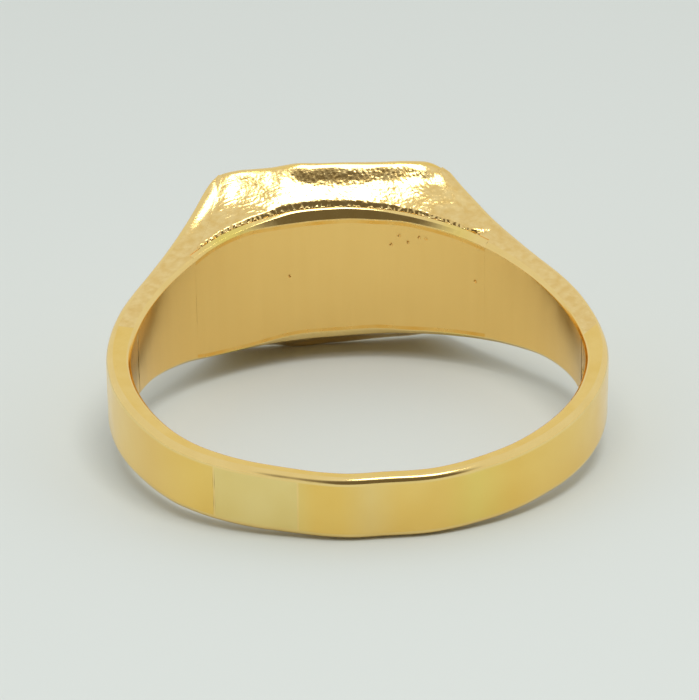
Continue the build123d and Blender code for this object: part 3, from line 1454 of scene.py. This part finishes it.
    def build_back_plate(self) -> None:
        """Builds the curved plate that closes the back of the head, with its bevelled edges."""
        shape = self.shape
        chords = Chords(bore=110, bevel=8, corner=6, flank=4, outside=12)
        count = 260
        half = self.back_half_angle + self.butt
        loops = []
        zones: list[Zone] = []
        for k in range(count + 1):
            angle = 90 - half + 2 * half * k / count
            inner = polar(shape.bore_radius, angle)
            outer = polar(self.seat_radius, angle)
            rise, run = shape.bevel(inner)
            section = Section(shape, inner, outer, self.back_rim_round, chords, rise, run)
            points, zones = section.loop()
            loops.append([shape.worked(p) for p in points])
        piece = Piece("back_plate")
        piece.loft(loops, zones)
        flaws = []
        for x, y, z in self.pits:
            reach = hypot(x, y)
            drop = (x / reach * self.pit_depth, y / reach * self.pit_depth, 0.0)
            flaws.append(Flaw((x, y, z), (self.pit_size,) * 3, drop))
        piece.carve(flaws)
        bench = self.bench
        piece.place(
            {
                Zone.BORE: bench.satin,
                # The rim strip under the bevel edge gets the painted shade finish.
                Zone.RIM: bench.rim_painted_shade,
                Zone.EDGE: bench.strip,
                Zone.FLANK: bench.strip,
                Zone.OUTSIDE: bench.satin,
                Zone.END: bench.solder,
            },
            "gold_satin",
        )

    def build_side_plate(self, name: str, side: Side) -> None:
        """Builds one flared plate that closes the side of the head.

        Args:
            name: Its node.
            side: Upper or lower.
        """
        shape = self.shape
        sign = side.value

        def surface(u: float, v: float) -> Solid:
            """Point of the plate's outer face.

            Args:
                u: Share of the way along the plate.
                v: Share of the way up it.

            Returns:
                The point.
            """
            spread = 2 * u - 1
            low = polar(self.panel_radius, 90 - self.hollow_half_angle * spread)
            high = (self.panel_top * spread, self.lip_level)
            x, y = mix(low, high, v)
            wx, wy, wz = shape.worked((x, y, sign * shape.half_width(x, y)))
            height = hypot(high[0] - low[0], high[1] - low[1])
            foot, top, ends = self.calm
            inside = ease(0.0, foot, v * height) * ease(0.0, top, (1 - v) * height)
            inside *= ease(0.0, ends, (1 - abs(spread)) * self.panel_top)
            ragged = 1 + self.edge_tear_share * marks(x, y, self.edge_tear, 5.0 * sign)
            roll = exp(-((v * height / self.edge_roll) ** 2)) * self.edge_drop * ragged
            lift = self.crown * sin(pi * v) * (1 - spread**4)
            lift += self.file_marks.height(x, y, side) * inside - roll
            return wx, wy, wz + sign * lift

        piece = Piece(name)
        rows, columns = (340, 84) if side is Side.PLUS else (240, 60)
        piece.slab(rows, columns, surface, sign * self.plate)
        if side is Side.PLUS:
            piece.carve(self.voids)
        bench = self.bench
        piece.place({Zone.FLANK: bench.filed, Zone.END: bench.solder}, "gold_filed")

    def build_back_seam(self, name: str, side: Side) -> None:
        """Builds the grainy solder between the back plate and one side plate; its dark colour also
        paints the shade in the groove.

        Args:
            name: Its node.
            side: Upper or lower.
        """
        shape = self.shape
        sign = side.value

        def surface(u: float, v: float) -> Solid:
            """Point of the solder's face.

            Args:
                u: Share of the way along the seam.
                v: Share of the way across it.

            Returns:
                The point.
            """
            angle = 90 + self.hollow_half_angle * (1 - 2 * u)
            x, y = polar(self.seat_radius + self.solder_gap * v, angle)
            wx, wy, wz = shape.worked((x, y, sign * shape.half_width(x, y)))
            lumps = marks(x, y, self.seam_lump, 3.0 * sign) * self.seam_grain
            return wx, wy, wz + sign * (lumps - self.seam_drop)

        piece = Piece(name)
        piece.slab(260, 3, surface, sign * self.seam_depth)
        piece.place({Zone.FLANK: self.bench.solder, Zone.END: self.bench.solder}, "solder")


@dataclass(frozen=True)
class Lamp:
    """A flat soft light that faces the ring."""

    name: str
    towards: Solid
    away: float
    size: Flat
    radiance: float
    in_reflections: bool = True


@dataclass
class Studio:
    """Plain pale floor, soft light and the camera."""

    shape: RingShape
    floor_colour: Colour = (0.63, 0.665, 0.64)
    floor_roughness: float = 0.7
    floor_specular: float = 0.2
    floor_size: float = 900.0
    camera_distance: float = 244.84
    camera_azimuth: float = -5.41
    camera_elevation: float = 29.93
    camera_roll: float = -0.754
    aim_right: float = -0.373
    aim_up: float = 1.489
    lens: float = 293.57
    room: Colour = (0.74, 0.75, 0.74)
    dusk: Colour = (0.15, 0.13, 0.1)
    dusk_towards: Solid = (0.06, -0.84, 0.54)
    dusk_range: Flat = (0.74, 0.87)
    lamps: tuple[Lamp, ...] = (
        Lamp("softbox", (0.18, -0.1, 0.98), 300.0, (80.0, 108.0), 6.0),
        Lamp("floor_fill", (0.0, -0.2, 0.98), 320.0, (220.0, 220.0), 2.45, False),
    )

    @property
    def tilt(self) -> float:
        """Angle that the ring's own plane makes with the floor.

        Returns:
            The angle in radians.
        """
        low_head = self.shape.half_width(0.0, self.shape.table_level)
        low_palm = self.shape.palm_half_width
        reach = self.shape.table_level + self.shape.outer_radius - self.shape.outer_centre
        return atan2(low_head - low_palm, reach)

    def build(self) -> None:
        """Sets up floor, light and camera."""
        self.build_floor()
        self.build_room()
        self.build_lights()
        self.build_camera()

    def floor_frame(self) -> Matrix:
        """Place of the floor: it touches the table's lower edge and the palm's.

        Returns:
            The floor's matrix in metres.
        """
        turn = Matrix.Rotation(-self.tilt, 4, "X")
        palm = -(self.shape.outer_radius - self.shape.outer_centre)
        touch = Vector((0.0, palm * MM, -self.shape.palm_half_width * MM))
        return Matrix.Translation(touch) @ turn

    def build_floor(self) -> None:
        """Adds the floor that the ring lies on."""
        half = self.floor_size * MM / 2
        mesh = bpy.data.meshes.new("floor")
        corners = [(-half, -half, 0), (half, -half, 0), (half, half, 0), (-half, half, 0)]
        mesh.from_pydata(corners, [], [(0, 1, 2, 3)])
        floor = bpy.data.objects.new("floor", mesh)
        floor.matrix_world = self.floor_frame()
        bpy.context.scene.collection.objects.link(floor)
        paper = bpy.data.materials.new("floor_paper")
        paper.use_nodes = True
        shader = paper.node_tree.nodes["Principled BSDF"]
        shader.inputs["Base Color"].default_value = (*self.floor_colour, 1.0)
        shader.inputs["Roughness"].default_value = self.floor_roughness
        shader.inputs["Specular IOR Level"].default_value = self.floor_specular
        mesh.materials.append(paper)

    def build_room(self) -> None:
        """Lights the scene from a pale room with one dim side."""
        world = bpy.data.worlds.new("pale_room")
        bpy.context.scene.world = world
        world.use_nodes = True
        tree = world.node_tree
        tree.nodes.clear()
        output = tree.nodes.new("ShaderNodeOutputWorld")
        back = tree.nodes.new("ShaderNodeBackground")
        place = tree.nodes.new("ShaderNodeTexCoord")
        dot = tree.nodes.new("ShaderNodeVectorMath")
        dot.operation = "DOT_PRODUCT"
        dot.inputs[1].default_value = Vector(self.dusk_towards).normalized()
        tree.links.new(place.outputs["Generated"], dot.inputs[0])
        stops = zip(self.dusk_range, (self.room, self.dusk))
        colour = ramped(tree, dot.outputs["Value"], list(stops))
        tree.links.new(colour, back.inputs["Color"])
        tree.links.new(back.outputs["Background"], output.inputs["Surface"])

    def build_lights(self) -> None:
        """Adds the lights: an overhead softbox and a fill that the gold doesn't mirror."""
        for lamp in self.lamps:
            data = bpy.data.lights.new(lamp.name, "AREA")
            data.shape = "RECTANGLE"
            data.size = lamp.size[0] * MM
            data.size_y = lamp.size[1] * MM
            data.energy = lamp.radiance * pi * data.size * data.size_y
            light = bpy.data.objects.new(lamp.name, data)
            direction = Vector(lamp.towards).normalized()
            light.location = direction * lamp.away * MM
            light.rotation_mode = "QUATERNION"
            light.rotation_quaternion = direction.to_track_quat("Z", "Y")
            light.visible_glossy = lamp.in_reflections
            bpy.context.scene.collection.objects.link(light)

    def build_camera(self) -> None:
        """Adds the camera."""
        e, a = radians(self.camera_elevation), radians(self.camera_azimuth)
        back = Vector((sin(a) * cos(e), -cos(a) * cos(e), sin(e)))
        right = (-back).cross(Vector((0, 0, 1))).normalized()
        up = right.cross(-back)
        r = radians(self.camera_roll)
        across = right * cos(r) + up * sin(r)
        upright = -right * sin(r) + up * cos(r)
        aim = across * self.aim_right + upright * self.aim_up
        data = bpy.data.cameras.new("camera")
        data.lens = self.lens
        data.clip_start = 0.01
        camera = bpy.data.objects.new("camera", data)
        turn = Matrix((across, upright, back)).transposed().to_4x4()
        place = Matrix.Translation((aim + back * self.camera_distance) * MM)
        camera.matrix_world = place @ turn
        bpy.context.scene.collection.objects.link(camera)
        bpy.context.scene.camera = camera
        bpy.context.scene.view_settings.view_transform = "Standard"


def main() -> None:
    """Builds the ring and its studio."""
    logging.basicConfig(level=logging.INFO, format="%(message)s")
    shape = RingShape.from_frame()
    bench = GoldBench()
    Head(shape, bench).build()
    Shank(shape, bench).build()
    Studio(shape).build()


if __name__ == "__main__":
    main()
